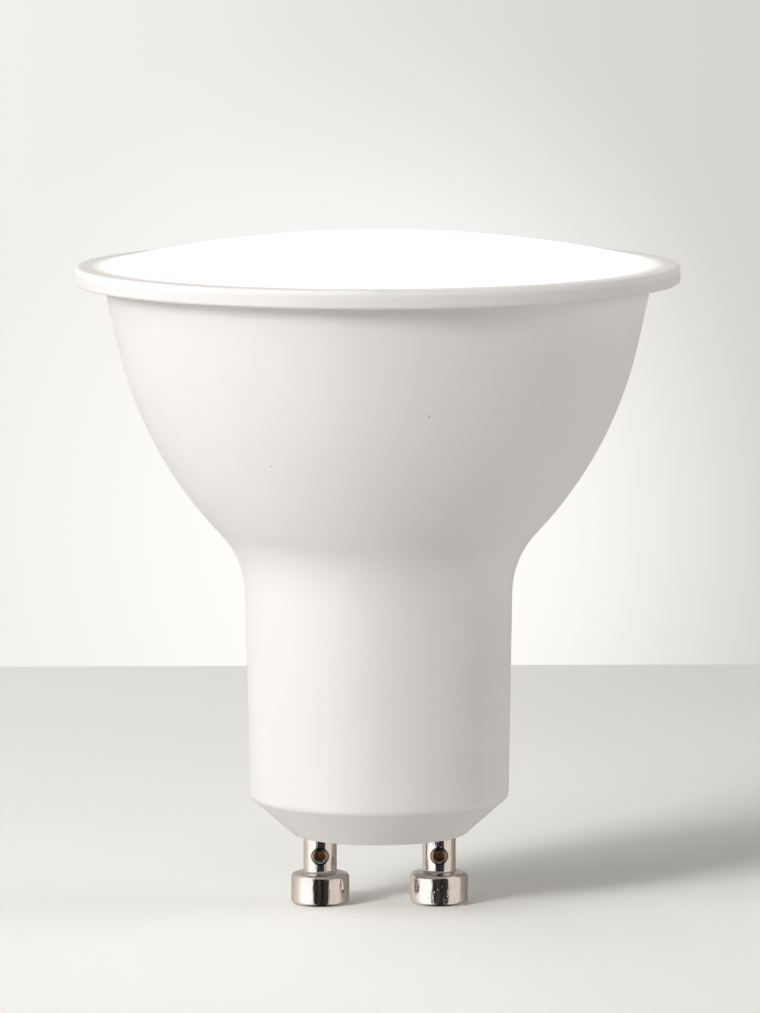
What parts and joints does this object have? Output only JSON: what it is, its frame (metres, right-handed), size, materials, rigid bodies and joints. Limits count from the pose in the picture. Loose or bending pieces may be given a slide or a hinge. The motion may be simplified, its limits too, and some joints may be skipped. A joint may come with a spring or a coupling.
{
  "type": "spotlight bulb",
  "caption": "Reflector-shaped LED spotlight bulb with a domed opal lens, a white moulded body and two twist-lock contact pins.",
  "frame": {"origin": "on the lamp's axis, at the feet of the contact pins", "axes": "+Z along the lamp's axis towards the lens, X through both contact pins"},
  "size_m": [0.0504, 0.0504, 0.0565],
  "materials": {
    "housing_plastic": "semi-matt moulded white",
    "opal_lens": "smooth opal, lit from inside",
    "pin_nickel": "nickel plated, turned",
    "cup_aluminium": "pressed, plain",
    "led_board_mask": "white solder mask over an aluminium core",
    "led_package": "white frame with a yellow phosphor pocket",
    "screw_steel": "zinc plated",
    "driver_laminate": "green solder mask on glass laminate",
    "supply_insulation": "white wire insulation",
    "lead_red": "red wire insulation",
    "lead_black": "black wire insulation",
    "capacitor_sleeve": "dark heat-shrunk sleeve",
    "fuse_enamel": "dipped grey-green enamel",
    "core_ferrite": "ground ferrite",
    "bobbin_plastic": "black moulded",
    "winding_copper": "enamelled copper wire",
    "chip_epoxy": "black moulded epoxy",
    "chip_ceramic": "fired ceramic with tinned ends"
  },
  "bodies": {
    "root": {"housing": "housing_plastic", "diffuser_lens": "opal_lens", "contact_pin_left": "pin_nickel", "contact_pin_right": "pin_nickel", "heat_sink_cup": "cup_aluminium", "led_board": "led_board_mask", "led_1": "led_package", "led_2": "led_package", "led_3": "led_package", "led_4": "led_package", "led_5": "led_package", "led_6": "led_package", "led_7": "led_package", "led_8": "led_package", "board_screws": "screw_steel", "driver_board": "driver_laminate", "supply_wire_left": "supply_insulation", "supply_wire_right": "supply_insulation", "led_lead_left": "lead_red", "led_lead_right": "lead_black", "input_capacitor": "capacitor_sleeve", "output_capacitor": "capacitor_sleeve", "fuse_resistor": "fuse_enamel", "choke_core_lower": "core_ferrite", "choke_core_upper": "core_ferrite", "choke_bobbin": "bobbin_plastic", "choke_winding": "winding_copper", "bridge_rectifier": "chip_epoxy", "driver_chip": "chip_epoxy", "flyback_diode": "chip_epoxy", "sense_resistor_left": "chip_ceramic", "sense_resistor_right": "chip_ceramic", "bypass_capacitor": "chip_ceramic"}
  },
  "joints": []
}
